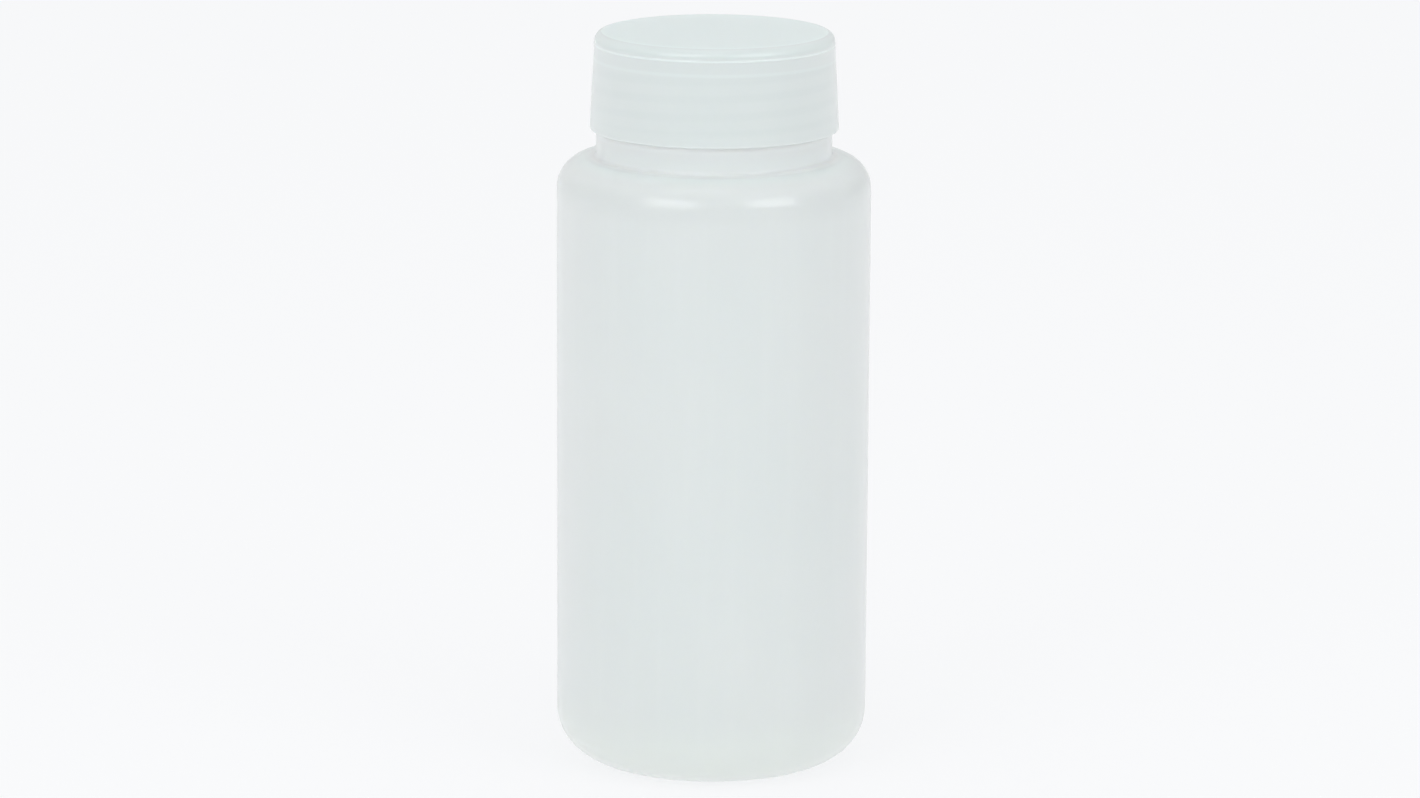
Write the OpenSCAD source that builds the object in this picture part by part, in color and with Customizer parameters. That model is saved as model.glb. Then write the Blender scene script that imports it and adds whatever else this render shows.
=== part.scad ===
// Wide-mouth reagent bottle: a blow-moulded vessel, a screw cap and a foam seal disc.
// Millimetres, +Z up. The origin is the centre of the base, on the surface the bottle stands on.
// Each piece is drawn as a half section, radius by height, and turned about Z.

/* [Body] */
// Outside diameter of the straight wall
body_d = 72; // [64:0.5:96]
// Height from the standing face to the top of the shoulder, at the collar
shoulder_h = 141.4; // [80:0.1:240]
// Wall thickness of the base, body, shoulder and collar
wall = 1.4; // [0.8:0.1:2]
// Outside radius of the rounded corner at the base
base_r = 11.5; // [4:0.5:20]
// Outside radius of the rounded shoulder
shoulder_r = 7.3; // [4:0.1:8.5]
// Fall of the shoulder's top away from the collar, in degrees
shoulder_fall = 4; // [0:0.5:15]
// Width of the flat ring that the bottle stands on
stand_w = 3; // [1:0.5:10]
// Height of the recess under the base
punt_h = 2.4; // [1:0.1:6]

/* [Neck] */
// Outside diameter of the neck inside the cap
neck_d = 48.4; // [40:0.1:56]
// Wall thickness of the neck
neck_wall = 1.6; // [1:0.1:4]
// Height of the neck from the collar's top to the rim
neck_h = 19.1; // [12:0.1:30]
// Radius of the rounded edges of the rim and the collar
rim_r = 0.4; // [0.1:0.05:0.45]

/* [Collar] */
// Step from the neck out to the collar below the cap
collar_step = 2.8; // [1.5:0.1:4]
// Height of the collar above the shoulder
collar_h = 6; // [3:0.1:12]
// Radius of the fillet between the collar and the shoulder
collar_fillet = 0.8; // [0.2:0.1:1.2]

/* [Cap] */
// Room between the neck and the cap's skirt for the two threads
thread_room = 1.75; // [1.2:0.05:2.4]
// Thickness of the skirt at the cap's top
skirt_t = 1.5; // [1.2:0.1:3]
// Outward draft of the skirt's outside, in degrees
outer_draft = 3; // [0:0.1:5]
// Outward draft of the skirt's inside, in degrees
inner_draft = 1.2; // [0:0.1:2]
// Thickness of the cap's top plate
cap_top_t = 1.5; // [1:0.1:4]
// Radius of the cap's rounded top edge
cap_edge_r = 2.2; // [0.5:0.1:3]
// Radius of the rounded lower edge of the skirt
lip_r = 0.8; // [0.3:0.1:1.4]
// Gap between the closed cap's lower edge and the collar
cap_gap = 0.3; // [0.2:0.05:3]

/* [Liner] */
// Thickness of the foam seal disc
liner_t = 2; // [1:0.1:3]
// Clearance between the seal disc and the cap's skirt
liner_clearance = 0.3; // [0.1:0.05:1]

/* [Hidden] */

// Steps in one rounded corner, and in a full turn
arc_steps = 14;
turn_steps = 180;

// Radii of the pieces
body_r = body_d / 2;
neck_r = neck_d / 2;
mouth_r = neck_r - neck_wall;
collar_r = neck_r + collar_step;
skirt_in_r = neck_r + thread_room;
skirt_out_r = skirt_in_r + skirt_t;
liner_r = skirt_in_r - liner_clearance;

// Heights of the stack, from the collar to the top of the cap
collar_top = shoulder_h + collar_h;
rim_z = collar_top + neck_h;
liner_top = rim_z + liner_t;
cap_top = liner_top + cap_top_t;
cap_bottom = collar_top + cap_gap;

// Recess under the base: a shallow dome inside the standing ring
stand_out_r = body_r - base_r;
stand_in_r = stand_out_r - stand_w;
punt_r = (stand_in_r * stand_in_r + punt_h * punt_h) / (2 * punt_h);
punt_centre = [0, punt_h - punt_r];

// Fillet between the collar and the shoulder
fillet_run = collar_fillet * (1 - sin(shoulder_fall)) / cos(shoulder_fall);
fillet_rise = collar_fillet * cos(shoulder_fall) - fillet_run * sin(shoulder_fall);
fillet_centre = [collar_r + collar_fillet, shoulder_h + fillet_rise];

// Rounded shoulder, which leaves a narrow flat beside the collar's fillet on a slim body
shoulder_flat = 0.3;
shoulder_room = body_r - collar_r - fillet_run - shoulder_flat;
shoulder_round = min(shoulder_r, shoulder_room / (1 - sin(shoulder_fall)));
shoulder_top_r = body_r - shoulder_round * (1 - sin(shoulder_fall));
shoulder_drop = (shoulder_top_r - collar_r) * tan(shoulder_fall) + shoulder_round * cos(shoulder_fall);
shoulder_centre = [body_r - shoulder_round, shoulder_h - shoulder_drop];

// Rounded corner between the base and the body
base_centre = [stand_out_r, base_r];

// Points of an arc about a centre, from one angle to another
function arc(centre, r, from, to) =
    [for (i = [0 : arc_steps])
        let (a = from + (to - from) * i / arc_steps)
        centre + r * [cos(a), sin(a)]];

// Angle above the horizontal at which a dome of radius r meets the height z
function dome_angle(r, z) = asin((z - punt_centre.y) / r);

// Smooth step from one radius to another, upright at both ends
function ogee(start, end) =
    [for (i = [0 : arc_steps])
        let (t = i / arc_steps, blend = (1 - cos(180 * t)) / 2)
        [start.x + (end.x - start.x) * blend, start.y + (end.y - start.y) * t]];

// One skin of the vessel, from the middle of the base to the collar, at a depth inside the outer surface
function vessel_skin(depth) = concat(
    arc(punt_centre, punt_r + depth, 90, dome_angle(punt_r + depth, depth)),
    arc(base_centre, base_r - depth, -90, 0),
    arc(shoulder_centre, shoulder_round - depth, 0, 90 - shoulder_fall),
    arc(fillet_centre, collar_fillet + depth, -90 - shoulder_fall, -180));

// Outside of the collar and the neck, up to the rim
function neck_outside() = concat(
    arc([collar_r - rim_r, collar_top - rim_r], rim_r, 0, 90),
    [[neck_r, collar_top]],
    arc([neck_r - rim_r, rim_z - rim_r], rim_r, 0, 90));

// Inside of the mouth, from the rim down to where the collar's wall starts
function mouth_inside() = concat(
    arc([mouth_r + rim_r, rim_z - rim_r], rim_r, 90, 180),
    ogee([mouth_r, collar_top - wall], [collar_r - wall, fillet_centre.y]));

// Points in the opposite order, leaving out the given number of last points
function backwards(points, skip) = [for (i = [len(points) - 1 - skip : -1 : 0]) points[i]];

// Half section of the cap: top edge, outside of the skirt, lower edge, inside of the skirt
function cap_section() =
    let (edge_centre = [skirt_out_r - cap_edge_r, cap_top - cap_edge_r],
         lip_z = cap_bottom + lip_r,
         lip_x = edge_centre.x + (cap_edge_r - lip_r) / cos(outer_draft)
             + (edge_centre.y - lip_z) * tan(outer_draft),
         inner_flare = (liner_top - cap_bottom) * tan(inner_draft))
    concat(
        [[0, liner_top], [0, cap_top]],
        arc(edge_centre, cap_edge_r, 90, outer_draft),
        arc([lip_x, lip_z], lip_r, outer_draft, -90),
        [[skirt_in_r + inner_flare, cap_bottom], [skirt_in_r, liner_top]]);

// A half section turned about the bottle's axis
module turned(section) {
    rotate_extrude($fn = turn_steps)
        polygon(section);
}

// The vessel: one wall from the recessed base to the rim
module bottle() {
    color([0.88, 0.91, 0.90])
        turned(concat(
            vessel_skin(0),
            neck_outside(),
            mouth_inside(),
            backwards(vessel_skin(wall), 1)));
}

// The cap: a flat top plate and a smooth skirt that widens slightly downwards
module screw_cap() {
    color([0.86, 0.90, 0.89])
        turned(cap_section());
}

// The seal: a flat disc held between the cap's top plate and the bottle's rim
module cap_liner() {
    color([0.95, 0.95, 0.94])
        translate([0, 0, rim_z])
            cylinder(r = liner_r, h = liner_t, $fn = turn_steps);
}

bottle();
screw_cap();
cap_liner();
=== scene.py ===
"""Reagent bottle in natural translucent plastic: the moulded vessel, its screw cap and the foam seal."""

from math import asin, atan2, cos, degrees, hypot, pi, radians, sin, tan

import bmesh
import bpy
from mathutils import Matrix, Vector


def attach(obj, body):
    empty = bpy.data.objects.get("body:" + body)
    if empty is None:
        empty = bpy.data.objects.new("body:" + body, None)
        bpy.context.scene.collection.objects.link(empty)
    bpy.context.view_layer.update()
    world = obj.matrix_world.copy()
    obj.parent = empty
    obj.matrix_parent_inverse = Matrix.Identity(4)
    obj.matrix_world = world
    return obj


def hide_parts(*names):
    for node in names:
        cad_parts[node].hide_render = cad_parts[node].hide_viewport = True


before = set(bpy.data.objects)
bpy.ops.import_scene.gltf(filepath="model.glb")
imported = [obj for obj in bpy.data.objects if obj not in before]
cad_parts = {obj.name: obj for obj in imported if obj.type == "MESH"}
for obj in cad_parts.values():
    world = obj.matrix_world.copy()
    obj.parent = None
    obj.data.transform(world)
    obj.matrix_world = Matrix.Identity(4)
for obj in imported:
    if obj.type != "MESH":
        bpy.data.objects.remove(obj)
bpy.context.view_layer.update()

MM = 0.001

# Vessel, in millimetres: radii from the axis and heights from the standing face
BODY_RADIUS = 36.0
WALL = 1.4
BASE_ROUND = 11.5
STAND_OUTER = 24.5
STAND_INNER = 21.5
PUNT_HEIGHT = 2.4
SHOULDER_ROUND = 7.3
SHOULDER_FALL = 4.0
SHOULDER_TOP = 141.4
COLLAR_RADIUS = 27.0
COLLAR_TOP = 147.65
COLLAR_EDGE = 0.1
COLLAR_FILLET = 0.8
NECK_RADIUS = 24.2
MOUTH_RADIUS = 22.6
RIM_HEIGHT = 166.5
RIM_ROUND = 0.4

# Screw cap, with its drafts in degrees
SKIRT_INNER = 25.95
SKIRT_OUTER = 27.45
OUTER_DRAFT = 3.0
INNER_DRAFT = 1.2
CAP_TOP = 170.0
CAP_BOTTOM = 147.7
CAP_EDGE = 2.2
CAP_LIP = 0.35
LIP_INSIDE = 0.3
PLATE_BEVEL = 0.5
BEAD_HEIGHT = 167.2
BEAD_WIDTH = 0.6
BEAD_RISE = 0.1

# Seal: a disc with soft edges. The rim has pressed a ring into it that is flat as far as the margin
# and slopes as far as the reach.
SEAL_RADIUS = 25.65
SEAL_TOP = 168.5
SEAL_EDGE = 0.3
PRESS_DEPTH = 0.15
PRESS_MARGIN = 0.1
PRESS_REACH = 0.7

# Threads: a right-hand ridge on the neck, and one inside the skirt that meshes with it. Each moves
# the rows of its wall that lie between two radii and two heights, and runs out at both ends over an
# angle in degrees.
LEAD = 4.0
RIDGE = 1.1
RIDGE_CREST = 0.4
RIDGE_FOOT = 1.0
RUN_OUT = 24.0
NECK_THREAD = {
    "top_angle": -10.0,
    "top_height": 161.6,
    "turns": 2.5,
    "step": RIDGE,
    "radii": (23.9, 24.6),
    "heights": (148.1, 166.0),
}
CAP_THREAD = {
    "top_angle": -10.0,
    "top_height": 163.6,
    "turns": 3.0,
    "step": -RIDGE,
    "radii": (25.5, 26.5),
    "heights": (148.2, 166.6),
}

# Meshes: columns in a full turn, doublings of the first sector, the distance in metres within which
# corners are joined, and the angle in degrees from which an edge is sharp
COLUMNS = 288
DOUBLINGS = 4
MERGE_DISTANCE = 1e-6
SHARP_ANGLE = 40.0

# Depth to which the plastic scatters light
SCATTER_DEPTH = 1.1


class SectionPen:
    """Draws a half section in the XZ plane as wire edges, in millimetres."""

    def __init__(self, radius, height):
        self.bm = bmesh.new()
        self.tip = self.bm.verts.new((radius * MM, 0, height * MM))

    def step(self, radius, height):
        """One edge to a point."""
        self.tip = bmesh.ops.extrude_vert_indiv(self.bm, verts=[self.tip])["verts"][0]
        self.tip.co = (radius * MM, 0, height * MM)

    def line(self, radius, height, cuts=0, ease=None):
        """Run to a point in equal steps, straight or with its radius eased."""
        from_radius = self.tip.co.x / MM
        from_height = self.tip.co.z / MM
        for count in range(1, cuts + 2):
            share = count / (cuts + 1)
            out = ease(share) if ease else share
            self.step(
                from_radius + (radius - from_radius) * out,
                from_height + (height - from_height) * share,
            )

    def arc(self, centre_radius, centre_height, sweep, steps):
        """Round run about a centre, anticlockwise for a positive sweep in degrees."""
        centre = (centre_radius * MM, 0, centre_height * MM)
        made = bmesh.ops.spin(
            self.bm, geom=[self.tip], cent=centre, axis=(0, -1, 0), angle=radians(sweep), steps=steps
        )
        self.tip = [v for v in made["geom_last"] if isinstance(v, bmesh.types.BMVert)][0]

    def ogee(self, radius, height, steps):
        """Soft step to a point, upright at both ends."""
        self.line(radius, height, steps - 1, lambda share: (1 - cos(pi * share)) / 2)

    def turn(self):
        """Turns the section about the axis into a closed skin: one sector by spin, then doubled."""
        bm = self.bm
        sectors = 2**DOUBLINGS
        sector = 2 * pi / sectors
        bmesh.ops.spin(
            bm,
            geom=bm.verts[:] + bm.edges[:],
            cent=(0, 0, 0),
            axis=(0, 0, 1),
            angle=sector,
            steps=COLUMNS // sectors,
        )
        for _ in range(DOUBLINGS):
            copied = bmesh.ops.duplicate(bm, geom=bm.verts[:] + bm.edges[:] + bm.faces[:])["geom"]
            corners = [part for part in copied if isinstance(part, bmesh.types.BMVert)]
            bmesh.ops.rotate(bm, verts=corners, cent=(0, 0, 0), matrix=Matrix.Rotation(sector, 3, "Z"))
            sector *= 2
        bmesh.ops.remove_doubles(bm, verts=bm.verts[:], dist=MERGE_DISTANCE)
        bmesh.ops.recalc_face_normals(bm, faces=bm.faces[:])
        return bm


def smooth(share):
    """Eases a share from 0 to 1."""
    share = min(max(share, 0.0), 1.0)
    return share * share * (3 - 2 * share)


def thread_height(angle, height, thread):
    """Height of a thread's ridge at an angle in degrees and a height in millimetres, from 0 to 1."""
    low_angle = thread["top_angle"] - 360 * thread["turns"]
    best = 0.0
    for turn in range(-4, 2):
        along = angle + 360 * turn
        if not low_angle < along < thread["top_angle"]:
            continue
        centre = thread["top_height"] + LEAD * (along - thread["top_angle"]) / 360
        flank = smooth((RIDGE_FOOT - abs(height - centre)) / (RIDGE_FOOT - RIDGE_CREST))
        run_out = smooth((along - low_angle) / RUN_OUT) * smooth((thread["top_angle"] - along) / RUN_OUT)
        best = max(best, flank * run_out)
    return best


def raise_thread(bm, thread):
    """Moves the rows of a wall out, or in for a negative step, along a helical ridge."""
    near, far = thread["radii"]
    low, high = thread["heights"]
    for vert in bm.verts:
        radius = hypot(vert.co.x, vert.co.y)
        height = vert.co.z / MM
        if not (near < radius / MM < far and low < height < high):
            continue
        rise = thread["step"] * thread_height(degrees(atan2(vert.co.y, vert.co.x)), height, thread)
        share = (radius + rise * MM) / radius
        vert.co.x *= share
        vert.co.y *= share


def finish_piece(bm, name, material, body, node):
    """Makes a mesh object that stands for a node of the solids and moves with its body."""
    for face in bm.faces:
        face.smooth = True
    mesh = bpy.data.meshes.new(name)
    bm.to_mesh(mesh)
    bm.free()
    mesh.set_sharp_from_angle(angle=radians(SHARP_ANGLE))
    mesh.materials.append(material)
    piece = bpy.data.objects.new(name, mesh)
    bpy.context.scene.collection.objects.link(piece)
    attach(piece, body)
    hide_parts(node)


def vessel_skin():
    """The vessel's wall: recessed base, body, shoulder, collar and threaded neck, then the inside."""
    punt_radius = (STAND_INNER**2 + PUNT_HEIGHT**2) / (2 * PUNT_HEIGHT)
    punt_centre = PUNT_HEIGHT - punt_radius
    punt_sweep = 90 - degrees(asin(-punt_centre / punt_radius))
    inner_punt = punt_radius + WALL
    inner_sweep = 90 - degrees(asin((WALL - punt_centre) / inner_punt))
    fall = radians(SHOULDER_FALL)
    shoulder_top_radius = BODY_RADIUS - SHOULDER_ROUND * (1 - sin(fall))
    shoulder_drop = (shoulder_top_radius - COLLAR_RADIUS) * tan(fall) + SHOULDER_ROUND * cos(fall)
    round_radius = BODY_RADIUS - SHOULDER_ROUND
    round_height = SHOULDER_TOP - shoulder_drop
    fillet_run = COLLAR_FILLET * (1 - sin(fall)) / cos(fall)
    fillet_height = SHOULDER_TOP + COLLAR_FILLET * cos(fall) - fillet_run * sin(fall)
    fillet_radius = COLLAR_RADIUS + COLLAR_FILLET

    pen = SectionPen(0, PUNT_HEIGHT)
    pen.arc(0, punt_centre, -punt_sweep, 14)
    pen.line(STAND_OUTER, 0, cuts=2)
    pen.arc(STAND_OUTER, BASE_ROUND, 90, 24)
    pen.line(BODY_RADIUS, round_height, cuts=24)
    pen.arc(round_radius, round_height, 90 - SHOULDER_FALL, 22)
    pen.line(fillet_radius - COLLAR_FILLET * sin(fall), fillet_height - COLLAR_FILLET * cos(fall))
    pen.arc(fillet_radius, fillet_height, SHOULDER_FALL - 90, 8)
    pen.line(COLLAR_RADIUS, COLLAR_TOP - COLLAR_EDGE, cuts=3)
    pen.arc(COLLAR_RADIUS - COLLAR_EDGE, COLLAR_TOP - COLLAR_EDGE, 90, 4)
    pen.line(NECK_RADIUS + RIM_ROUND, COLLAR_TOP)
    pen.arc(NECK_RADIUS + RIM_ROUND, COLLAR_TOP + RIM_ROUND, -90, 5)
    pen.line(NECK_RADIUS, RIM_HEIGHT - RIM_ROUND, cuts=110)
    pen.arc(NECK_RADIUS - RIM_ROUND, RIM_HEIGHT - RIM_ROUND, 90, 6)
    pen.line(MOUTH_RADIUS + RIM_ROUND, RIM_HEIGHT)
    pen.arc(MOUTH_RADIUS + RIM_ROUND, RIM_HEIGHT - RIM_ROUND, 90, 6)
    pen.line(MOUTH_RADIUS, COLLAR_TOP - WALL, cuts=6)
    pen.ogee(COLLAR_RADIUS - WALL, fillet_height, 10)
    pen.arc(fillet_radius, fillet_height, 90 - SHOULDER_FALL, 8)
    inner_round = SHOULDER_ROUND - WALL
    pen.line(round_radius + inner_round * sin(fall), round_height + inner_round * cos(fall))
    pen.arc(round_radius, round_height, SHOULDER_FALL - 90, 14)
    pen.line(BODY_RADIUS - WALL, BASE_ROUND, cuts=16)
    pen.arc(STAND_OUTER, BASE_ROUND, -90, 16)
    pen.line(inner_punt * sin(radians(inner_sweep)), WALL)
    pen.arc(0, punt_centre, inner_sweep, 12)

    bm = pen.turn()
    raise_thread(bm, NECK_THREAD)
    return bm


def cap_skin():
    """The cap: flat top, rounded edge, fine bead, smooth drafted skirt, rounded lip, thread inside."""
    edge_radius = SKIRT_OUTER - CAP_EDGE
    edge_height = CAP_TOP - CAP_EDGE
    lip_height = CAP_BOTTOM + CAP_LIP
    draft = radians(OUTER_DRAFT)
    flare = tan(draft)
    lip_radius = edge_radius + (CAP_EDGE - CAP_LIP) / cos(draft) + (edge_height - lip_height) * flare
    bead_radius = edge_radius + CAP_EDGE / cos(draft) + (edge_height - BEAD_HEIGHT) * flare
    half_bead = BEAD_WIDTH / 2
    inner_flare = tan(radians(INNER_DRAFT))
    mouth_radius = SKIRT_INNER + (SEAL_TOP - CAP_BOTTOM) * inner_flare

    pen = SectionPen(0, SEAL_TOP)
    pen.line(0, CAP_TOP)
    pen.line(edge_radius, CAP_TOP, cuts=12)
    pen.arc(edge_radius, edge_height, OUTER_DRAFT - 90, 14)
    pen.line(bead_radius - half_bead * flare, BEAD_HEIGHT + half_bead)
    pen.ogee(bead_radius + BEAD_RISE, BEAD_HEIGHT, 5)
    pen.ogee(bead_radius + half_bead * flare, BEAD_HEIGHT - half_bead, 5)
    pen.line(lip_radius + CAP_LIP * cos(draft), lip_height + CAP_LIP * sin(draft), cuts=10)
    pen.arc(lip_radius, lip_height, -90 - OUTER_DRAFT, 10)
    pen.line(mouth_radius + LIP_INSIDE, CAP_BOTTOM)
    pen.arc(mouth_radius + LIP_INSIDE, CAP_BOTTOM + LIP_INSIDE, INNER_DRAFT - 90, 4)
    pen.line(SKIRT_INNER + PLATE_BEVEL * inner_flare, SEAL_TOP - PLATE_BEVEL, cuts=118)
    pen.line(SKIRT_INNER - PLATE_BEVEL, SEAL_TOP)
    pen.line(0, SEAL_TOP, cuts=6)

    bm = pen.turn()
    raise_thread(bm, CAP_THREAD)
    return bm


def seal_skin():
    """The foam disc: soft edges, and the ring that the bottle's rim has pressed into its underside."""
    underside = RIM_HEIGHT
    pressed = underside + PRESS_DEPTH
    edge_radius = SEAL_RADIUS - SEAL_EDGE
    pen = SectionPen(0, underside)
    pen.line(MOUTH_RADIUS - PRESS_REACH, underside, cuts=10)
    pen.ogee(MOUTH_RADIUS - PRESS_MARGIN, pressed, 6)
    pen.line(NECK_RADIUS + PRESS_MARGIN, pressed, cuts=2)
    pen.ogee(NECK_RADIUS + PRESS_REACH, underside, 6)
    pen.line(edge_radius, underside)
    pen.arc(edge_radius, underside + SEAL_EDGE, 90, 5)
    pen.line(SEAL_RADIUS, SEAL_TOP - SEAL_EDGE, cuts=2)
    pen.arc(edge_radius, SEAL_TOP - SEAL_EDGE, 90, 5)
    pen.line(0, SEAL_TOP, cuts=10)
    return pen.turn()


class Shade:
    """One socket of a node tree: arithmetic on it adds Math nodes, and node() adds any other node."""

    def __init__(self, tree, socket=None):
        self.tree = tree
        self.socket = socket

    def node(self, kind, settings=None, sockets=None, output=0):
        """Adds a node: first its settings, then the values or links of its sockets."""
        made = self.tree.nodes.new(kind)
        for name, value in (settings or {}).items():
            setattr(made, name, value)
        for name, value in (sockets or {}).items():
            if isinstance(value, Shade):
                self.tree.links.new(value.socket, made.inputs[name])
            else:
                made.inputs[name].default_value = value
        return Shade(self.tree, made.outputs[output] if made.outputs else None)

    def math(self, operation, first, second=0.0):
        """One Math node."""
        return self.node("ShaderNodeMath", {"operation": operation}, {0: first, 1: second})

    def __add__(self, other):
        return self.math("ADD", self, other)

    __radd__ = __add__

    def __sub__(self, other):
        return self.math("SUBTRACT", self, other)

    def __rsub__(self, other):
        return self.math("SUBTRACT", other, self)

    def __mul__(self, other):
        return self.math("MULTIPLY", self, other)

    __rmul__ = __mul__

    def parts(self, vector):
        """The three parts of a vector."""
        split = self.node("ShaderNodeSeparateXYZ", None, {"Vector": vector}).socket.node
        return [Shade(self.tree, socket) for socket in split.outputs]

    def bump(self, height, strength=1.0):
        """The normal of a skin whose height is in millimetres."""
        return self.node(
            "ShaderNodeBump", None, {"Strength": strength, "Distance": MM, "Height": height}
        )

    def noise(self, place, size_mm, detail=2.0, roughness=0.5):
        """Soft noise whose lumps are about the given size."""
        return self.node(
            "ShaderNodeTexNoise", None,
            {"Vector": place, "Scale": 1000.0 / size_mm, "Detail": detail, "Roughness": roughness},
        )

    def mix(self, share, first, second):
        """Blend of two colours. The node's colour sockets go by number, because their names repeat."""
        return self.node(
            "ShaderNodeMix", {"data_type": "RGBA"}, {"Factor": share, 6: first, 7: second}, output=2
        )

    def band(self, value, low, high):
        """Share from 0 to 1 of a value between two limits, eased."""
        return self.node(
            "ShaderNodeMapRange", {"interpolation_type": "SMOOTHSTEP"},
            {"Value": value, "From Min": low, "From Max": high},
        )


def new_material(name):
    """An empty material and its first socket wrapper."""
    material = bpy.data.materials.new(name)
    material.use_nodes = True
    material.node_tree.nodes.clear()
    return material, Shade(material.node_tree)


def close_material(shade, shader):
    """Joins a shader to the material's output."""
    shade.node("ShaderNodeOutputMaterial", None, {"Surface": shader})


def milky_wall(shade, colour, roughness, bump, gloss, clear):
    """A moulded wall: most light scatters in it, and the clear share passes through both faces."""
    outside = shade.node(
        "ShaderNodeBsdfPrincipled", {"subsurface_method": "RANDOM_WALK"},
        {
            "Base Color": colour,
            "Roughness": roughness,
            "IOR": 1.5,
            "Specular IOR Level": 0.15,
            "Normal": bump,
            "Subsurface Weight": 1.0,
            "Subsurface Radius": (1.0, 1.0, 0.95),
            "Subsurface Scale": SCATTER_DEPTH * MM,
            "Coat Weight": gloss,
            "Coat Roughness": 0.13,
            "Coat IOR": 1.55,
            "Transmission Weight": clear,
        },
    )
    inside = shade.node(
        "ShaderNodeBsdfPrincipled", None,
        {"Base Color": (1, 1, 1, 1), "Roughness": 0.45, "IOR": 1.5, "Transmission Weight": 1.0},
    )
    leaving = shade.node("ShaderNodeNewGeometry", output="Backfacing")
    return shade.node("ShaderNodeMixShader", None, {0: leaving, 1: outside, 2: inside})


def vessel_plastic():
    """Natural milky plastic: a satin skin, the mould's parting line, scuffs on the standing ring, and
    painted light and shade.

    Heights and distances from the axis are in metres.
    """
    milk = (0.797, 0.836, 0.833, 1)
    pale_milk = (0.812, 0.842, 0.839, 1)
    streak_tone = (0.83, 0.865, 0.86, 1)
    painted_bend_shade = (0.782, 0.815, 0.812, 1)
    painted_shoulder_light = (0.87, 0.97, 0.95, 1)
    painted_neck_light = (0.875, 0.927, 0.918, 1)
    painted_crease_light = (0.915, 1.0, 0.985, 1)
    painted_base_light = (0.838, 0.882, 0.853, 1)
    scuff_tone = (0.9, 0.92, 0.91, 1)

    material, shade = new_material("natural_satin_plastic")
    place = shade.node("ShaderNodeTexCoord", output="Object")
    right, back, level = shade.parts(place)
    reach = shade.math("SQRT", right * right + back * back)
    cloud = shade.noise(place, 42.0, 2.0)
    haze = shade.noise(place, 2.2, 3.0)
    skin = shade.noise(place, 0.5, 2.0)
    drawn = shade.node("ShaderNodeMapping", None, {"Vector": place, "Scale": (1.0, 1.0, 0.05)})
    streaks = shade.noise(drawn, 5.0, 3.0, 0.6)

    # Where each tone lies
    parting = 1 - shade.band(shade.math("ABSOLUTE", back), 0.00008, 0.00042)
    # Painted shade: a darker band at the bend of the shoulder.
    bend = shade.band(level, 0.13, 0.1355) * (1 - shade.band(level, 0.1365, 0.139))
    # Painted light: a paler top of the shoulder by the collar, lifting the shade there.
    above = shade.band(level, 0.1383, 0.1403)
    shoulder = above * (1 - shade.band(reach, 0.0295, 0.034))
    # Painted light: paler collar and neck, lifting the shade under the cap's overhang.
    neck = shade.band(level, 0.1413, 0.142)
    # Painted light: paler crease at the collar's foot and below the cap, where shade falls.
    groove = above * (1 - shade.band(reach, 0.0281, 0.0297)) * (1 - shade.band(level, 0.1414, 0.1424))
    under_cap = shade.band(level, 0.1456, 0.147) * (1 - shade.band(level, 0.1485, 0.15))
    # Painted light: paler towards the bottom, lifting the shade near the floor.
    base = 1 - shade.band(level, 0.002, 0.02)
    scuffed = (1 - shade.band(level, 0.0002, 0.0012)) * shade.band(haze, 0.42, 0.6)

    colour = shade.mix(shade.band(cloud, 0.3, 0.7), milk, pale_milk)
    colour = shade.mix(0.35 * shade.band(streaks, 0.45, 0.75), colour, streak_tone)
    colour = shade.mix(bend, colour, painted_bend_shade)
    colour = shade.mix(0.6 * shoulder, colour, painted_shoulder_light)
    colour = shade.mix(neck, colour, painted_neck_light)
    colour = shade.mix(groove + under_cap, colour, painted_crease_light)
    colour = shade.mix(base, colour, painted_base_light)
    colour = shade.mix(0.6 * scuffed, colour, scuff_tone)
    bump = shade.bump(0.05 * parting + 0.012 * haze + 0.02 * streaks + 0.004 * skin)
    roughness = 0.27 + 0.08 * haze + 0.2 * scuffed
    gloss = 0.4 - 0.3 * scuffed
    close_material(shade, milky_wall(shade, colour, roughness, bump, gloss, clear=0.25))
    return material


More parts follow.
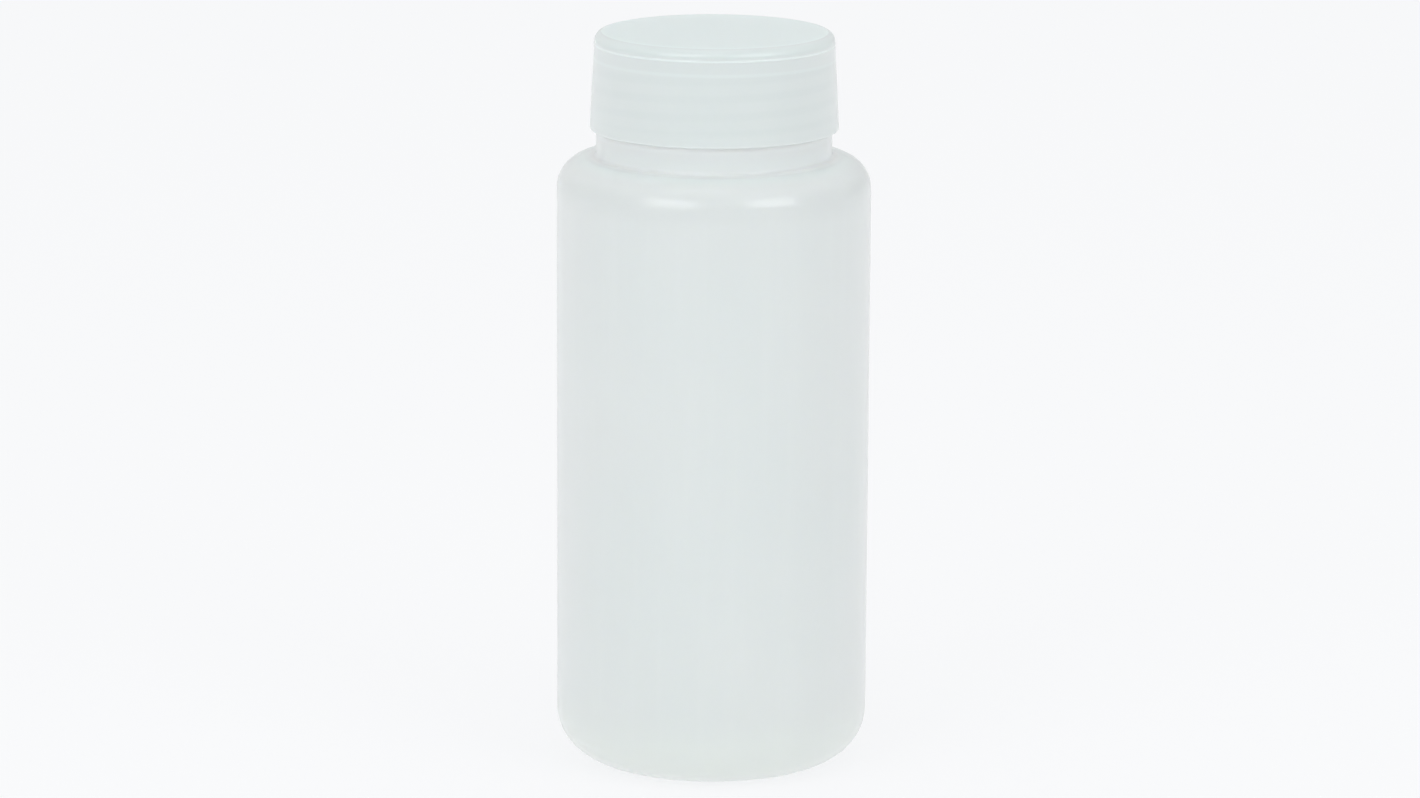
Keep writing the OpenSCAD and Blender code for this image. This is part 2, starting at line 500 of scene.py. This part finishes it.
def cap_plastic():
    """Natural plastic, cooler than the vessel's, with a matt top plate; its colour holds painted light
    and shade.

    Heights are in metres.
    """
    skirt_tone = (0.776, 0.828, 0.822, 1)
    pale_skirt_tone = (0.786, 0.833, 0.827, 1)
    painted_thread_shade = (0.766, 0.817, 0.811, 1)
    painted_lip_light = (0.85, 0.91, 0.903, 1)
    painted_edge_shade = (0.743, 0.807, 0.8, 1)
    painted_plate_light = (0.818, 0.917, 0.906, 1)
    painted_highlight_tone = (0.86, 0.94, 0.93, 1)
    rim_line_height = 0.164

    material, shade = new_material("natural_gloss_plastic")
    place = shade.node("ShaderNodeTexCoord", output="Object")
    right, back, height = shade.parts(place)
    cloud = shade.noise(place, 30.0, 2.0)
    haze = shade.noise(place, 1.8, 3.0)
    skin = shade.noise(place, 0.45, 2.0)

    # Distance from the thread's ridge, in turns
    turns = shade.math("ARCTAN2", back, right) * (1 / (2 * pi)) - CAP_THREAD["top_angle"] / 360
    climb = (height - CAP_THREAD["top_height"] * MM) * (1 / (LEAD * MM)) - turns
    ridge = shade.math("ABSOLUTE", shade.math("FRACT", climb + 0.5) - 0.5)

    # Where each tone lies
    threaded = shade.band(height, 0.1495, 0.1515) * (1 - shade.band(height, 0.1645, 0.1655))
    # Painted shade: darker bands where the thread shows through the skirt.
    thread = threaded * (1 - shade.band(ridge, 0.08, 0.34))
    # Painted light: a paler lip, lifting the shade below the cap.
    lip = 1 - shade.band(height, 0.1478, 0.1482)
    # Painted shade: a darker rounded edge, toning down the light it catches.
    edge = shade.band(height, 0.1674, 0.1682)
    # Painted light: a paler top plate. Its matt finish, set in roughness and gloss below, is its own.
    plate = shade.band(height, 0.16984, 0.16998)
    # Painted highlight: a pale line on the bead, and a fainter one where the rim shows through.
    bead = 1 - shade.band(shade.math("ABSOLUTE", height - BEAD_HEIGHT * MM), 0.0001, 0.00038)
    rim_line = 1 - shade.band(shade.math("ABSOLUTE", height - rim_line_height), 0.0001, 0.0006)

    colour = shade.mix(shade.band(cloud, 0.3, 0.7), skirt_tone, pale_skirt_tone)
    colour = shade.mix(thread, colour, painted_thread_shade)
    colour = shade.mix(lip, colour, painted_lip_light)
    colour = shade.mix(edge, colour, painted_edge_shade)
    colour = shade.mix(plate, colour, painted_plate_light)
    colour = shade.mix(0.95 * bead + 0.3 * rim_line, colour, painted_highlight_tone)
    bump = shade.bump(0.01 * haze + 0.003 * skin)
    roughness = 0.27 + 0.08 * haze + 0.25 * plate
    gloss = 0.4 - 0.37 * plate
    close_material(shade, milky_wall(shade, colour, roughness, bump, gloss, clear=0.2))
    return material


def seal_foam():
    """White closed-cell foam."""
    foam = (0.86, 0.86, 0.845, 1)
    pale_foam = (0.9, 0.9, 0.89, 1)
    cell_size = 0.45

    material, shade = new_material("white_cell_foam")
    place = shade.node("ShaderNodeTexCoord", output="Object")
    cells = shade.node(
        "ShaderNodeTexVoronoi", {"feature": "SMOOTH_F1"}, {"Vector": place, "Scale": 1000.0 / cell_size}
    )
    dust = shade.noise(place, 9.0, 3.0)
    shader = shade.node(
        "ShaderNodeBsdfPrincipled", None,
        {
            "Base Color": shade.mix(shade.band(dust, 0.3, 0.7), foam, pale_foam),
            "Roughness": 0.75 + 0.15 * dust,
            "IOR": 1.45,
            "Normal": shade.bump(0.06 * cells, strength=0.8),
            "Subsurface Weight": 1.0,
            "Subsurface Radius": (1.0, 1.0, 1.0),
            "Subsurface Scale": 1.5 * MM,
        },
    )
    close_material(shade, shader)
    return material


def studio():
    """White surroundings, panels that only light, cards that only show in the gloss, a pale floor."""
    left_tone = (0.87, 0.875, 0.88, 1)
    right_tone = (0.54, 0.545, 0.55, 1)
    back_tone = (0.68, 0.685, 0.69, 1)
    front_tone = (0.9, 0.905, 0.91, 1)
    top_tone = (0.91, 0.915, 0.92, 1)
    middle = Vector((0, 0, 0.1))
    distance = 1.1
    floor_size = 5.0

    world = bpy.data.worlds.new("white_tent")
    world.use_nodes = True
    world.node_tree.nodes.clear()
    shade = Shade(world.node_tree)
    right, back, up = shade.parts(shade.node("ShaderNodeTexCoord"))
    colour = shade.mix(shade.band(right, 0.0, 0.65), left_tone, right_tone)
    colour = shade.mix(0.4 * shade.band(back, 0.0, 0.8), colour, back_tone)
    colour = shade.mix(shade.band(back, -0.95, 0.1), front_tone, colour)
    colour = shade.mix(shade.band(up, 0.0, 0.55), colour, top_tone)
    sky = shade.node("ShaderNodeBackground", None, {"Color": colour, "Strength": 0.965})
    shade.node("ShaderNodeOutputWorld", None, {"Surface": sky})
    bpy.context.scene.world = world

    for name, azimuth, elevation, width, height, power, diffuse, glossy in (
        ("left_panel", -37, 30, 0.6, 0.34, 1.4, True, False),
        ("left_card", -33, 28, 0.66, 0.5, 3.2, False, True),
        ("right_panel", 46, 30, 0.6, 0.34, 1.3, True, False),
        ("right_card", 44, 28.5, 0.68, 0.5, 3.3, False, True),
        ("front_panel", -5, 8, 0.9, 0.3, 0.5, True, False),
        ("top_card", -25, 79, 0.55, 0.12, 0.65, False, True),
    ):
        lamp = bpy.data.lights.new(name, "AREA")
        lamp.shape = "RECTANGLE"
        lamp.size = width
        lamp.size_y = height
        lamp.energy = power
        holder = bpy.data.objects.new(name, lamp)
        turn = radians(azimuth)
        lift = radians(elevation)
        offset = Vector((sin(turn) * cos(lift), -cos(turn) * cos(lift), sin(lift))) * distance
        holder.matrix_world = (
            Matrix.Translation(middle + offset) @ offset.to_track_quat("Z", "Y").to_matrix().to_4x4()
        )
        holder.visible_camera = False
        holder.visible_diffuse = diffuse
        holder.visible_glossy = glossy
        bpy.context.scene.collection.objects.link(holder)

    bm = bmesh.new()
    bmesh.ops.create_grid(bm, x_segments=1, y_segments=1, size=floor_size)
    mesh = bpy.data.meshes.new("floor")
    bm.to_mesh(mesh)
    bm.free()
    material, shade = new_material("pale_floor")
    shader = shade.node(
        "ShaderNodeBsdfPrincipled", None,
        {
            "Base Color": (0.2, 0.2, 0.2, 1),
            "Roughness": 0.9,
            "Specular IOR Level": 0.0,
            "Emission Color": (0.985, 0.993, 1.008, 1),
            "Emission Strength": 0.765,
        },
    )
    close_material(shade, shader)
    mesh.materials.append(material)
    floor = bpy.data.objects.new("floor", mesh)
    bpy.context.scene.collection.objects.link(floor)


def camera():
    """The main view: slightly above, from a long way off, with a slight lean."""
    target = Vector((-0.00065, 0, 0.0842))
    elevation = radians(12.6)
    lean = radians(0.307)
    distance = 1.2727
    focal_length = 139.77
    offset = Vector((0, -cos(elevation), sin(elevation))) * distance
    lens = bpy.data.cameras.new("camera")
    lens.sensor_fit = "HORIZONTAL"
    lens.sensor_width = 36.0
    lens.lens = focal_length
    lens.clip_end = 50
    holder = bpy.data.objects.new("camera", lens)
    holder.matrix_world = (
        Matrix.Translation(target + offset)
        @ offset.to_track_quat("Z", "Y").to_matrix().to_4x4()
        @ Matrix.Rotation(lean, 4, "Z")
    )
    bpy.context.scene.collection.objects.link(holder)
    bpy.context.scene.camera = holder
    bpy.context.scene.view_settings.view_transform = "Standard"


camera()
studio()
finish_piece(vessel_skin(), "moulded_vessel", vessel_plastic(), "bottle", "bottle")
finish_piece(cap_skin(), "threaded_cap", cap_plastic(), "screw_cap", "screw_cap")
finish_piece(seal_skin(), "foam_seal", seal_foam(), "cap_liner", "cap_liner")
